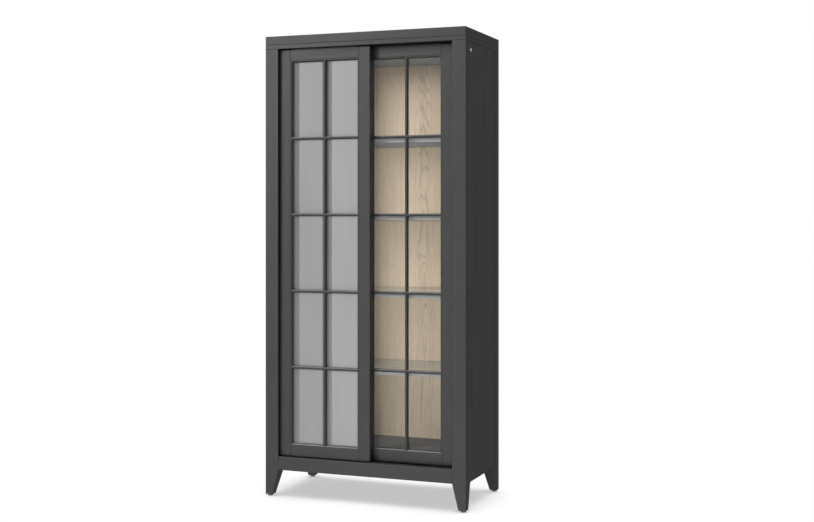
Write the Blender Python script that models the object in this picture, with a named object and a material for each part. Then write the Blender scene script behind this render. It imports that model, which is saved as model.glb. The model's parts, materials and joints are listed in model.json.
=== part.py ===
"""A free-standing display cabinet on tapered legs, with two glazed sliding doors.

Metres, +Z up. The front faces -Y and +X is to the viewer's right. The origin is on the floor,
in the middle of the cabinet's footprint.
"""

import math

import bmesh
import bpy
from mathutils import Matrix, Vector

# ---------------------------------------------------------------- driving sizes
WIDTH = 0.920
DEPTH = 0.460
HEIGHT = 2.000
GAP = 0.0003            # between pieces that touch
SOFT = 0.0012           # rounding of a sanded timber edge
RUNNING_GAP = 0.0015    # beside a door where it slides past wood or metal
OVERRUN = 0.010         # how far a cutter runs past the face it cuts
OVERLAP = 0.004         # how far a piece reaches into another before the two are joined

# legs and posts
POST = 0.060
FOOT = 0.033            # width of a leg where it meets its glide
GLIDE_HEIGHT = 0.007
GLIDE_RADIUS = 0.011
GLIDE_LOWER_BEVEL = 0.0015
GLIDE_UPPER_BEVEL = 0.001
SKIRT_BOTTOM = 0.1155   # underside of the apron and of the side panels
APRON_TOP = 0.174
APRON_THICK = 0.020

# top
TOP_THICK = 0.0375
UNDER_THICK = 0.018
CARCASS_TOP = HEIGHT - TOP_THICK - UNDER_THICK - GAP

# boards inside
SIDE_THICK = 0.019
SIDE_SETBACK = 0.0010   # how far a side panel lies behind the faces of its posts
APRON_SETBACK = 0.0008
LINING_THICK = 0.012
SIDE_RAIL_RISE = 0.004  # underside of a side rail above the edge of its panel
BASE_THICK = 0.018
BASE_TOP = 0.170
FLOOR_TOP = 0.216
CEILING_BOTTOM = 1.898
BACK_FACE = 0.205       # front of the back panel
BACK_THICK = 0.008
BACK_RAIL_THICK = 0.016
CASE_CLEARANCE = 0.005  # from the rear door's back to the floor and ceiling boards

# doors
DOOR_WIDTH = 0.434
DOOR_THICK = 0.026
DOOR_BOTTOM = 0.177
DOOR_TOP = 1.940
DOOR_SETBACK = 0.018    # front door's face behind the posts' faces
TRACK_PITCH = 0.037     # from the front door's face to the rear door's face
FRONT_DOOR_OUTER = -0.4095
REAR_DOOR_OUTER = 0.397
MEETING_STILE = 0.050
OUTER_STILE = 0.060
RAIL = 0.046
BEAD = 0.008
BEAD_SETBACK = 0.0015
LIP_THICK = 0.004       # lip behind the glass
GLASS_THICK = 0.004
GLASS_EDGE_GAP = 0.001  # from the edge of the glass to the frame round it
BAR = 0.012             # lattice bar, across
BAR_FLAT = 0.005        # flat on the front of a bar
BAR_CHAMFER = 0.004     # depth of the slopes beside that flat
COLUMNS = 2
ROWS = 5
POST_GROOVE = 0.0105    # groove in the front posts that the front door closes into
GROOVE_DROP = 0.001     # bottom of that groove below the base board's top

# door running gear
WHEEL_RADIUS = 0.010    # at the bottom of the wheel's groove
WHEEL_FLANGE = 0.0115
WHEEL_BEVEL = 0.0004
WHEEL_WIDTH = 0.006
WHEEL_GROOVE = 0.0032
WHEEL_BORE = 0.0023
AXLE_RADIUS = 0.0020
HOUSING_LENGTH = 0.036
HOUSING_WIDTH = 0.012
HOUSING_WALL = 0.0018
HOUSING_BOTTOM = 0.0018  # above the door's lower edge
HOUSING_HEIGHT = 0.0235
HOUSING_INSET = 0.030    # centre of a housing from the end of the bottom rail
RUNNER_PLATE = 0.0025
RUNNER_WIDTH = 0.0024
RUNNER_RISE = 0.0030     # from the track's plate to the bottom of a wheel's groove
RUNNER_BEVEL = 0.0005
TRACK_END_GAP = 0.0012   # from the ends of the tracks to the linings
TRACK_GROOVE_END = 0.001  # from the ends of the upper track's groove to the linings
GUIDE_LENGTH = 0.300
GUIDE_FOOT = 0.014
GUIDE_FOOT_THICK = 0.002
GUIDE_FIN = 0.006
GUIDE_TOP = 1.951
SLOT_WIDTH = 0.008
SLOT_DEPTH = 0.009
TRACK_DEPTH = 0.0112     # height of the upper track

# shelves
SHELF_COUNT = 4
SHELF_FRONT = -0.142
SHELF_RAIL = 0.012
SHELF_RISE = 0.002       # top of a shelf above the middle of the lattice bar in front of it
SHELF_HEIGHT = 0.0245
SHELF_GLASS = 0.0057
SHELF_SEAT = 0.005
SHELF_SIDE_GAP = 0.0035
SHELF_BACK_GAP = 0.0015
SHELF_BEVEL = 0.0008
SHELF_GLASS_BEVEL = 0.0005
PEG_RADIUS = 0.003
PEG_HOLE = 0.0034
PEG_LENGTH = 0.009
PEG_HOLE_DEPTH = 0.010
PEG_PLACES = (-0.100, 0.130)

# light and its switch
LIGHT_PLACES = (-0.200, 0.200)
LIGHT_Y = -0.095
LIGHT_FLANGE = 0.033
LIGHT_BARREL = 0.028
LIGHT_BORE = 0.0245
LIGHT_DEPTH = 0.014
LIGHT_HOLE_DEPTH = 0.016
LIGHT_BACK_THICK = 0.006
LIGHT_FLANGE_THICK = 0.002
LENS_THICK = 0.003
LENS_RISE = 0.0008      # lens above the underside of the ceiling board
SWITCH_Y = -0.1585
SWITCH_Z = 1.910
BEZEL_RADIUS = 0.009
BEZEL_PROUD = 0.0006
BEZEL_BEVEL = 0.0003
BARREL_RADIUS = 0.0072
BARREL_REACH = 0.006    # barrel past the inner face of the side panel
BARREL_END_THICK = 0.003
BUTTON_RADIUS = 0.0052
BUTTON_BEVEL = 0.0004
BUTTON_SETBACK = 0.0001  # button's face behind the bezel's
BUTTON_TRAVEL = 0.0015
BUTTON_STOP_GAP = 0.001  # left behind the button when it is pressed

# derived places
FRONT = -DEPTH / 2
BACK = DEPTH / 2
SIDE = WIDTH / 2
INNER = SIDE - POST                   # inner faces of posts and linings
FRONT_DOOR_Y = FRONT + DOOR_SETBACK
REAR_DOOR_Y = FRONT_DOOR_Y + TRACK_PITCH
CASE_FRONT = REAR_DOOR_Y + DOOR_THICK + CASE_CLEARANCE
DOOR_HEIGHT = DOOR_TOP - DOOR_BOTTOM
OPENING_WIDTH = DOOR_WIDTH - MEETING_STILE - OUTER_STILE - 2 * BEAD
OPENING_BOTTOM = DOOR_BOTTOM + RAIL + BEAD
OPENING_TOP = DOOR_TOP - RAIL - BEAD
ROW_PITCH = (OPENING_TOP - OPENING_BOTTOM) / ROWS
AXLE_Z = BASE_TOP + GAP + RUNNER_PLATE + RUNNER_RISE + WHEEL_RADIUS


# ---------------------------------------------------------------- materials
def material(name, colour, roughness, metallic=0.0, alpha=1.0):
    """A Principled material of one colour."""
    made = bpy.data.materials.new(name)
    made.use_nodes = True
    shader = made.node_tree.nodes["Principled BSDF"]
    shader.inputs["Base Color"].default_value = (*colour, 1.0)
    shader.inputs["Roughness"].default_value = roughness
    shader.inputs["Metallic"].default_value = metallic
    shader.inputs["Alpha"].default_value = alpha
    return made


# ---------------------------------------------------------------- mesh helpers
def add_object(name, shape, finish, place=(0, 0, 0), turn=(0, 0, 0), parent=None):
    """Make an object of a bmesh, with its faces pointing outwards, and put it in its place."""
    bmesh.ops.recalc_face_normals(shape, faces=shape.faces)
    mesh = bpy.data.meshes.new(name)
    shape.to_mesh(mesh)
    shape.free()
    made = bpy.data.objects.new(name, mesh)
    bpy.context.scene.collection.objects.link(made)
    made.data.materials.append(finish)
    made.location = place
    made.rotation_euler = turn
    made.parent = parent
    return made


def box_shape(size, soft=0.0, segments=2):
    """A block centred on its origin, with its edges rounded by soft."""
    shape = bmesh.new()
    bmesh.ops.create_cube(shape, size=1.0)
    bmesh.ops.scale(shape, vec=size, verts=shape.verts)
    if soft:
        bmesh.ops.bevel(shape, geom=shape.edges[:], offset=soft, segments=segments,
                        profile=0.5, affect="EDGES")
    return shape


def box(name, low, high, finish, soft=0.0, parent=None, segments=2):
    """A block from its lowest to its highest corner."""
    low, high = Vector(low), Vector(high)
    shape = box_shape(high - low, soft, segments)
    return add_object(name, shape, finish, (low + high) / 2, parent=parent)


def prism_shape(outline, length):
    """An outline in the local YZ plane, pushed along X by half of length each way."""
    shape = bmesh.new()
    ends = []
    for x in (-length / 2, length / 2):
        ends.append([shape.verts.new((x, y, z)) for y, z in outline])
    shape.faces.new(ends[0])
    shape.faces.new(reversed(ends[1]))
    for i in range(len(outline)):
        j = (i + 1) % len(outline)
        shape.faces.new((ends[0][i], ends[1][i], ends[1][j], ends[0][j]))
    return shape


def turned_shape(profile, segments=32):
    """A closed outline of (radius, height) points, swept round the local Z axis."""
    shape = bmesh.new()
    rings = []
    for step in range(segments):
        angle = 2 * math.pi * step / segments
        way = Vector((math.cos(angle), math.sin(angle), 0))
        rings.append([way * radius + Vector((0, 0, height)) for radius, height in profile])
    made = [[shape.verts.new(point) for point in ring] for ring in rings]
    count = len(profile)
    for step in range(segments):
        after = made[(step + 1) % segments]
        for i in range(count):
            j = (i + 1) % count
            corners = (made[step][i], after[i], after[j], made[step][j])
            if profile[i][0] + profile[j][0] > 0:
                shape.faces.new(corners)
    bmesh.ops.remove_doubles(shape, verts=shape.verts, dist=1e-6)
    return shape


def disc_shape(radius, height, segments=32):
    """A plain cylinder on the local Z axis, standing on its origin."""
    shape = bmesh.new()
    bmesh.ops.create_cone(shape, cap_ends=True, segments=segments, radius1=radius,
                          radius2=radius, depth=height,
                          matrix=Matrix.Translation((0, 0, height / 2)))
    return shape


def smooth(made, angle=35):
    """Shade a round piece smooth, with its real edges kept sharp."""
    made.data.shade_smooth()
    made.data.set_sharp_from_angle(angle=math.radians(angle))


def combine(made, others, operation):
    """Cut the others from a piece, or join them to it, and drop them."""
    for other in others:
        other.hide_render = True
        other.display_type = "WIRE"
        change = made.modifiers.new(other.name, "BOOLEAN")
        change.operation = operation
        change.solver = "EXACT"
        change.object = other
    bpy.context.view_layer.update()
    solid = bpy.data.meshes.new_from_object(
        made.evaluated_get(bpy.context.evaluated_depsgraph_get()))
    made.modifiers.clear()
    made.data = solid
    solid.name = made.name
    for other in others:
        bpy.data.objects.remove(other, do_unlink=True)
    return made


def cut(made, others):
    return combine(made, others, "DIFFERENCE")


def join(made, others):
    return combine(made, others, "UNION")


# ---------------------------------------------------------------- legs and posts
def make_post(name, side, end, finish):
    """One corner post; below the apron its two inner faces slope in to a small foot."""
    shape = bmesh.new()
    slim = POST - FOOT
    levels = ((CARCASS_TOP - GAP, 0.0), (SKIRT_BOTTOM, 0.0), (GLIDE_HEIGHT + GAP, slim))
    rings = []
    for z, inset in levels:
        xs = (side * SIDE, side * (INNER + inset))
        ys = (end * BACK, end * (BACK - POST + inset))
        corners = ((xs[0], ys[0]), (xs[1], ys[0]), (xs[1], ys[1]), (xs[0], ys[1]))
        rings.append([shape.verts.new((x, y, z)) for x, y in corners])
    shape.faces.new(rings[0])
    shape.faces.new(reversed(rings[-1]))
    for upper, lower in zip(rings, rings[1:]):
        for i in range(4):
            j = (i + 1) % 4
            shape.faces.new((upper[j], upper[i], lower[i], lower[j]))
    bmesh.ops.bevel(shape, geom=shape.edges[:], offset=SOFT, segments=2, profile=0.5,
                    affect="EDGES")
    return add_object(name, shape, finish)


def make_posts(finish):
    """Four posts. The front two are grooved, so that the front door's edge closes into them."""
    for side, side_name in ((-1, "left"), (1, "right")):
        for end, end_name in ((-1, "front"), (1, "back")):
            post = make_post(f"post_{end_name}_{side_name}", side, end, finish)
            if end > 0:
                continue
            xs = sorted((side * (INNER - OVERRUN), side * (INNER + POST_GROOVE)))
            groove = box("groove", (xs[0], FRONT_DOOR_Y - RUNNING_GAP, BASE_TOP - GROOVE_DROP),
                         (xs[1], FRONT_DOOR_Y + DOOR_THICK + RUNNING_GAP, CARCASS_TOP + OVERRUN),
                         finish)
            cut(post, [groove])


def make_glides(finish):
    """A round foot under each leg, in the middle of its end."""
    middle_x = SIDE - FOOT / 2
    middle_y = BACK - FOOT / 2
    profile = ((0.0, 0.0), (GLIDE_RADIUS - GLIDE_LOWER_BEVEL, 0.0),
               (GLIDE_RADIUS, GLIDE_LOWER_BEVEL), (GLIDE_RADIUS, GLIDE_HEIGHT - GLIDE_UPPER_BEVEL),
               (GLIDE_RADIUS - GLIDE_UPPER_BEVEL, GLIDE_HEIGHT), (0.0, GLIDE_HEIGHT))
    for side, side_name in ((-1, "left"), (1, "right")):
        for end, end_name in ((-1, "front"), (1, "back")):
            glide = add_object(f"glide_{end_name}_{side_name}", turned_shape(profile, 24), finish,
                               (side * middle_x, end * middle_y, 0))
            smooth(glide)


# ---------------------------------------------------------------- top, aprons and boards
def make_top(finish):
    """The top board and the board under it, which carries the upper track in a wide groove."""
    box("top_board", (-SIDE, FRONT, HEIGHT - TOP_THICK), (SIDE, BACK, HEIGHT), finish, SOFT)
    under = box("top_under_board", (-SIDE, FRONT, CARCASS_TOP),
                (SIDE, BACK, CARCASS_TOP + UNDER_THICK), finish, SOFT)
    reach = INNER - TRACK_GROOVE_END
    groove = box("track_groove", (-reach, FRONT_DOOR_Y - RUNNING_GAP, CARCASS_TOP - OVERRUN),
                 (reach, REAR_DOOR_Y + DOOR_THICK + RUNNING_GAP,
                  CARCASS_TOP + TRACK_DEPTH + 2 * GAP), finish)
    cut(under, [groove])


def make_aprons(finish):
    """The rails at the bottom of the front and the back."""
    reach = INNER - GAP
    box("apron_front", (-reach, FRONT + APRON_SETBACK, SKIRT_BOTTOM),
        (reach, FRONT + APRON_SETBACK + APRON_THICK, APRON_TOP), finish, SOFT)
    box("apron_back", (-reach, BACK - BACK_RAIL_THICK, SKIRT_BOTTOM),
        (reach, BACK - APRON_SETBACK, APRON_TOP), finish, SOFT)


def make_sides(finish):
    """Each side is a panel between the posts, a lining flush inside, and a rail below the two."""
    reach = BACK - POST - GAP
    top = CARCASS_TOP - GAP
    lining_bottom = BASE_TOP - BASE_THICK
    rail_bottom = SKIRT_BOTTOM + SIDE_RAIL_RISE
    for side, side_name in ((-1, "left"), (1, "right")):
        outer = sorted((side * (SIDE - SIDE_SETBACK), side * (SIDE - SIDE_SETBACK - SIDE_THICK)))
        panel = box(f"side_panel_{side_name}", (outer[0], -reach, SKIRT_BOTTOM),
                    (outer[1], reach, top), finish, SOFT)
        if side > 0:
            bore = add_object("switch_hole",
                              disc_shape(BARREL_RADIUS + GAP, SIDE_THICK + 2 * OVERRUN), finish,
                              (outer[0] - OVERRUN, SWITCH_Y, SWITCH_Z), (0, math.pi / 2, 0))
            cut(panel, [bore])
        inner = sorted((side * INNER, side * (INNER + LINING_THICK)))
        lining = box(f"side_lining_{side_name}", (inner[0], -reach, lining_bottom),
                     (inner[1], reach, top), finish, SOFT / 2)
        rail = sorted((side * (INNER + GAP), side * (SIDE - SIDE_SETBACK - SIDE_THICK - GAP)))
        box(f"side_rail_{side_name}", (rail[0], -reach, rail_bottom),
            (rail[1], reach, lining_bottom - GAP), finish, SOFT)
        holes = []
        for number in range(SHELF_COUNT):
            for y in PEG_PLACES:
                start = side * (INNER - OVERLAP)
                hole = disc_shape(PEG_HOLE, PEG_HOLE_DEPTH + OVERLAP, 16)
                holes.append(add_object("peg_hole", hole, finish,
                                        (start, y, peg_height(number)),
                                        (0, side * math.pi / 2, 0)))
        cut(lining, holes)


def make_boards(paint, oak):
    """The base under the doors, the raised floor, the lowered ceiling and the back panel."""
    reach = INNER - GAP
    behind = BACK_FACE - GAP
    box("base_board", (-reach, FRONT + APRON_SETBACK + APRON_THICK + GAP, BASE_TOP - BASE_THICK),
        (reach, behind, BASE_TOP), paint)
    box("floor_board", (-reach, CASE_FRONT, BASE_TOP + GAP), (reach, behind, FLOOR_TOP),
        paint, SOFT / 2)
    ceiling = box("ceiling_board", (-reach, CASE_FRONT, CEILING_BOTTOM),
                  (reach, behind, CARCASS_TOP - GAP), paint, SOFT / 2)
    holes = [add_object("light_hole", disc_shape(LIGHT_BARREL + GAP, LIGHT_HOLE_DEPTH + OVERRUN),
                        paint, (x, LIGHT_Y, CEILING_BOTTOM - OVERRUN)) for x in LIGHT_PLACES]
    cut(ceiling, holes)
    box("back_panel", (-reach, BACK_FACE, SKIRT_BOTTOM),
        (reach, BACK_FACE + BACK_THICK, CARCASS_TOP - GAP), oak)


# ---------------------------------------------------------------- shelves
def shelf_top(number):
    """Height of a shelf's upper face; the shelves line up with the doors' level bars."""
    return OPENING_TOP - (number + 1) * ROW_PITCH + SHELF_RISE


def peg_height(number):
    return shelf_top(number) - SHELF_HEIGHT / 2


def make_shelves(metal, glass):
    """Each shelf is a glass pane in a welded frame, whose four pegs sit in the side linings."""
    reach_x = INNER - SHELF_SIDE_GAP
    reach_back = BACK_FACE - SHELF_BACK_GAP
    middle_y = (SHELF_FRONT + reach_back) / 2
    size_y = reach_back - SHELF_FRONT
    for number in range(SHELF_COUNT):
        top = shelf_top(number)
        frame = box(f"shelf_frame_{number + 1}", (-reach_x, SHELF_FRONT, top - SHELF_HEIGHT),
                    (reach_x, reach_back, top), metal, SHELF_BEVEL, segments=1)
        inner_x = reach_x - SHELF_RAIL
        inner_y = size_y / 2 - SHELF_RAIL
        opening = box("opening",
                      (-inner_x, middle_y - inner_y, top - SHELF_HEIGHT - OVERRUN),
                      (inner_x, middle_y + inner_y, top + OVERRUN), metal)
        seat_x = inner_x + SHELF_SEAT
        seat_y = inner_y + SHELF_SEAT
        seat = box("seat", (-seat_x, middle_y - seat_y, top - SHELF_GLASS - GAP),
                   (seat_x, middle_y + seat_y, top + OVERRUN), metal)
        cut(frame, [opening, seat])
        pegs = []
        for side in (-1, 1):
            for y in PEG_PLACES:
                peg = disc_shape(PEG_RADIUS, PEG_LENGTH + OVERLAP, 16)
                pegs.append(add_object("peg", peg, metal,
                                       (side * (reach_x - OVERLAP), y, peg_height(number)),
                                       (0, side * math.pi / 2, 0)))
        join(frame, pegs)
        box(f"shelf_glass_{number + 1}",
            (-seat_x + GAP, middle_y - seat_y + GAP, top - SHELF_GLASS),
            (seat_x - GAP, middle_y + seat_y - GAP, top), glass, SHELF_GLASS_BEVEL, segments=1)


# ---------------------------------------------------------------- tracks
def make_tracks(metal):
    """A lower track with a raised runner for each door, and an upper one with a slot for each."""
    reach = INNER - TRACK_END_GAP
    front = FRONT + APRON_SETBACK + APRON_THICK + 2 * GAP
    back = CASE_FRONT - GAP
    low = BASE_TOP + GAP
    plate = low + RUNNER_PLATE
    crown = AXLE_Z - WHEEL_RADIUS - GAP
    outline = [(front, low), (back, low), (back, plate)]
    for middle in (REAR_DOOR_Y + DOOR_THICK / 2, FRONT_DOOR_Y + DOOR_THICK / 2):
        half = RUNNER_WIDTH / 2
        flat = half - RUNNER_BEVEL
        outline += [(middle + half, plate), (middle + half, crown - RUNNER_BEVEL),
                    (middle + flat, crown), (middle - flat, crown),
                    (middle - half, crown - RUNNER_BEVEL), (middle - half, plate)]
    outline += [(front, plate)]
    add_object("lower_track", prism_shape(outline, 2 * reach), metal)

    front = FRONT_DOOR_Y - RUNNING_GAP + GAP
    back = REAR_DOOR_Y + DOOR_THICK + RUNNING_GAP - GAP
    low = CARCASS_TOP + GAP
    high = low + TRACK_DEPTH
    outline = [(back, low), (back, high), (front, high), (front, low)]
    for middle in (FRONT_DOOR_Y + DOOR_THICK / 2, REAR_DOOR_Y + DOOR_THICK / 2):
        half = SLOT_WIDTH / 2
        outline += [(middle - half, low), (middle - half, low + SLOT_DEPTH),
                    (middle + half, low + SLOT_DEPTH), (middle + half, low)]
    add_object("upper_track", prism_shape(outline, 2 * reach), metal)


# ---------------------------------------------------------------- doors
def bar_outline(width, chamfer_low, chamfer_high):
    """Section of a lattice bar: y is measured from its front, z across it."""
    half = width / 2
    slope = (BAR - BAR_FLAT) / 2
    depth = DOOR_THICK - BEAD_SETBACK - LIP_THICK - GLASS_THICK - 2 * GAP
    low_flat = half - slope if chamfer_low else half
    high_flat = half - slope if chamfer_high else half
    outline = [(depth, -half), (BAR_CHAMFER if chamfer_low else 0.0, -half)]
    if chamfer_low:
        outline.append((0.0, -low_flat))
    outline.append((0.0, high_flat))
    if chamfer_high:
        outline.append((BAR_CHAMFER, half))
    outline.append((depth, half))
    return outline


def make_lattice(name, finish, door, middle_x):
    """The bead round the opening and the bars across it, as one glued-up frame."""
    height = OPENING_TOP - OPENING_BOTTOM
    middle_z = (OPENING_TOP + OPENING_BOTTOM) / 2 - DOOR_BOTTOM
    bead = BEAD - GAP
    front = BEAD_SETBACK
    upright = (0, -math.pi / 2, 0)
    level_length = OPENING_WIDTH + 2 * bead
    upright_length = height + 2 * bead
    offset_x = OPENING_WIDTH / 2 + bead / 2
    offset_z = height / 2 + bead / 2
    lattice = add_object(name, prism_shape(bar_outline(bead, True, False), level_length), finish,
                         (middle_x, front, middle_z + offset_z), parent=door)
    others = []

    def bar(outline, length, x, z, turn=(0, 0, 0)):
        others.append(add_object("bar", prism_shape(outline, length), finish, (x, front, z),
                                 turn, parent=door))

    bar(bar_outline(bead, False, True), level_length, middle_x, middle_z - offset_z)
    # turned upright, a section's +z side faces -x
    bar(bar_outline(bead, True, False), upright_length, middle_x - offset_x, middle_z, upright)
    bar(bar_outline(bead, False, True), upright_length, middle_x + offset_x, middle_z, upright)
    for column in range(1, COLUMNS):
        x = middle_x - OPENING_WIDTH / 2 + OPENING_WIDTH * column / COLUMNS
        bar(bar_outline(BAR, True, True), height + bead, x, middle_z, upright)
    for row in range(1, ROWS):
        z = middle_z - height / 2 + height * row / ROWS
        bar(bar_outline(BAR, True, True), OPENING_WIDTH + bead, middle_x, z)
    return join(lattice, others)


def make_stile(name, finish, door, low_x, high_x, lip_side):
    """An upright of the door's frame, with a lip along its inner edge behind the glass."""
    stile = box(name, (low_x, 0, 0), (high_x, DOOR_THICK, DOOR_HEIGHT), finish, SOFT, door)
    edge = high_x if lip_side > 0 else low_x
    xs = sorted((edge - lip_side * OVERLAP, edge + lip_side * BEAD))
    lip = box("lip", (xs[0], DOOR_THICK - LIP_THICK, RAIL + BEAD + GAP),
              (xs[1], DOOR_THICK - SOFT, DOOR_HEIGHT - RAIL - BEAD - GAP), finish, parent=door)
    return join(stile, [lip])


def make_rail(name, finish, door, low_x, high_x, low_z, high_z, lip_side):
    """A level piece of the door's frame, with its own lip behind the glass."""
    rail = box(name, (low_x, 0, low_z), (high_x, DOOR_THICK, high_z), finish, SOFT, door)
    edge = high_z if lip_side > 0 else low_z
    zs = sorted((edge - lip_side * OVERLAP, edge + lip_side * BEAD))
    lip = box("lip", (low_x, DOOR_THICK - LIP_THICK, zs[0]),
              (high_x, DOOR_THICK - SOFT, zs[1]), finish, parent=door)
    return join(rail, [lip])


def make_housing(name, finish, door, x):
    """An upside-down channel let into the bottom rail, with the wheel's axle across it."""
    low = HOUSING_BOTTOM
    high = low + HOUSING_HEIGHT
    middle_y = DOOR_THICK / 2
    half = HOUSING_WIDTH / 2
    inside = half - HOUSING_WALL
    outline = [(middle_y - half, low), (middle_y - inside, low),
               (middle_y - inside, high - HOUSING_WALL), (middle_y + inside, high - HOUSING_WALL),
               (middle_y + inside, low), (middle_y + half, low), (middle_y + half, high),
               (middle_y - half, high)]
    housing = add_object(name, prism_shape(outline, HOUSING_LENGTH), finish, (x, 0, 0),
                         parent=door)
    length = 2 * inside + HOUSING_WALL
    axle = add_object("axle", disc_shape(AXLE_RADIUS, length, 24), finish,
                      (x, middle_y + length / 2, AXLE_Z - DOOR_BOTTOM), (math.pi / 2, 0, 0),
                      parent=door)
    return join(housing, [axle])


def make_wheel(name, finish, door, x):
    """A grooved wheel, whose origin is on its axle."""
    half = WHEEL_WIDTH / 2
    notch = WHEEL_GROOVE / 2
    rim = WHEEL_FLANGE - WHEEL_BEVEL
    profile = ((WHEEL_BORE, -half), (rim, -half), (WHEEL_FLANGE, -half + WHEEL_BEVEL),
               (WHEEL_FLANGE, -notch - WHEEL_BEVEL), (WHEEL_RADIUS, -notch),
               (WHEEL_RADIUS, notch), (WHEEL_FLANGE, notch + WHEEL_BEVEL),
               (WHEEL_FLANGE, half - WHEEL_BEVEL), (rim, half), (WHEEL_BORE, half))
    wheel = add_object(name, turned_shape(profile, 32), finish,
                       (x, DOOR_THICK / 2, AXLE_Z - DOOR_BOTTOM), (math.pi / 2, 0, 0),
                       parent=door)
    smooth(wheel)


def make_guide(name, finish, door):
    """A fin on the door's upper edge, which runs in the upper track's slot."""
    middle = DOOR_THICK / 2
    low = DOOR_HEIGHT + GAP
    step = low + GUIDE_FOOT_THICK
    high = GUIDE_TOP - DOOR_BOTTOM
    outline = [(middle - GUIDE_FOOT / 2, low), (middle + GUIDE_FOOT / 2, low),
               (middle + GUIDE_FOOT / 2, step), (middle + GUIDE_FIN / 2, step),
               (middle + GUIDE_FIN / 2, high), (middle - GUIDE_FIN / 2, high),
               (middle - GUIDE_FIN / 2, step), (middle - GUIDE_FOOT / 2, step)]
    add_object(name, prism_shape(outline, GUIDE_LENGTH), finish, parent=door)


def make_door(prefix, outer_x, outward, front_y, paint, glass, metal, plastic):
    """One sliding door; outward is the side, -1 or +1, on which it meets its post."""
    door = bpy.data.objects.new(prefix, None)
    bpy.context.scene.collection.objects.link(door)
    door.location = (outer_x - outward * DOOR_WIDTH / 2, front_y, DOOR_BOTTOM)
    half = DOOR_WIDTH / 2
    left_stile = OUTER_STILE if outward < 0 else MEETING_STILE
    right_stile = MEETING_STILE if outward < 0 else OUTER_STILE
    left_name = "outer" if outward < 0 else "meeting"
    right_name = "meeting" if outward < 0 else "outer"
    frame_left = -half + left_stile
    frame_right = half - right_stile
    make_stile(f"{prefix}_{left_name}_stile", paint, door, -half, frame_left, 1)
    make_stile(f"{prefix}_{right_name}_stile", paint, door, frame_right, half, -1)
    rail_left = frame_left + GAP
    rail_right = frame_right - GAP
    make_rail(f"{prefix}_top_rail", paint, door, rail_left, rail_right,
              DOOR_HEIGHT - RAIL, DOOR_HEIGHT, -1)
    bottom = make_rail(f"{prefix}_bottom_rail", paint, door, rail_left, rail_right, 0, RAIL, 1)
    middle_x = (frame_left + frame_right) / 2
    make_lattice(f"{prefix}_lattice", paint, door, middle_x)
    glass_y = DOOR_THICK - LIP_THICK - GLASS_THICK - GAP
    inset = GLASS_EDGE_GAP
    box(f"{prefix}_glass", (frame_left + inset, glass_y, RAIL + inset),
        (frame_right - inset, glass_y + GLASS_THICK, DOOR_HEIGHT - RAIL - inset), glass,
        parent=door)
    pockets = []
    for end, x in ((left_name, rail_left + HOUSING_INSET), (right_name, rail_right - HOUSING_INSET)):
        room_x = HOUSING_LENGTH / 2 + GAP
        room_y = HOUSING_WIDTH / 2 + GAP
        pockets.append(box("pocket", (x - room_x, DOOR_THICK / 2 - room_y, -OVERRUN),
                           (x + room_x, DOOR_THICK / 2 + room_y,
                            HOUSING_BOTTOM + HOUSING_HEIGHT + GAP), paint, parent=door))
        make_housing(f"{prefix}_{end}_wheel_housing", metal, door, x)
        make_wheel(f"{prefix}_{end}_wheel", plastic, door, x)
    cut(bottom, pockets)
    make_guide(f"{prefix}_top_guide", plastic, door)


# ---------------------------------------------------------------- light and switch
def make_lights(metal, lens_finish):
    """Two shallow round fittings let into the ceiling board, each with its lens."""
    flange = -LIGHT_FLANGE_THICK
    profile = ((0.0, LIGHT_DEPTH), (LIGHT_BARREL, LIGHT_DEPTH), (LIGHT_BARREL, -GAP),
               (LIGHT_FLANGE, -GAP), (LIGHT_FLANGE, flange), (LIGHT_BORE, flange),
               (LIGHT_BORE, LIGHT_DEPTH - LIGHT_BACK_THICK), (0.0, LIGHT_DEPTH - LIGHT_BACK_THICK))
    for x, side_name in zip(LIGHT_PLACES, ("left", "right")):
        ring = add_object(f"light_fitting_{side_name}", turned_shape(profile, 40), metal,
                          (x, LIGHT_Y, CEILING_BOTTOM))
        smooth(ring)
        lens = add_object(f"light_lens_{side_name}", disc_shape(LIGHT_BORE - GAP, LENS_THICK, 40),
                          lens_finish, (x, LIGHT_Y, CEILING_BOTTOM + LENS_RISE))
        smooth(lens)


def make_switch(metal, plastic):
    """A round push switch through the right side panel; its button slides along X."""
    face = SIDE - SIDE_SETBACK + GAP
    length = SIDE_THICK + BARREL_REACH
    bore = BUTTON_RADIUS + GAP
    end = length - BARREL_END_THICK
    profile = ((bore, BEZEL_PROUD), (BEZEL_RADIUS - BEZEL_BEVEL, BEZEL_PROUD),
               (BEZEL_RADIUS, BEZEL_PROUD - BEZEL_BEVEL), (BEZEL_RADIUS, 0.0),
               (BARREL_RADIUS, 0.0), (BARREL_RADIUS, -length), (0.0, -length),
               (0.0, -end), (bore, -end))
    place = (face, SWITCH_Y, SWITCH_Z)
    turn = (0, math.pi / 2, 0)
    smooth(add_object("switch_bezel", turned_shape(profile, 32), metal, place, turn))
    stem = end - BUTTON_TRAVEL - BUTTON_STOP_GAP
    cap = BEZEL_PROUD - BUTTON_SETBACK
    profile = ((0.0, cap), (BUTTON_RADIUS - BUTTON_BEVEL, cap),
               (BUTTON_RADIUS, cap - BUTTON_BEVEL), (BUTTON_RADIUS, -stem), (0.0, -stem))
    smooth(add_object("switch_button", turned_shape(profile, 32), plastic, place, turn))


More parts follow.
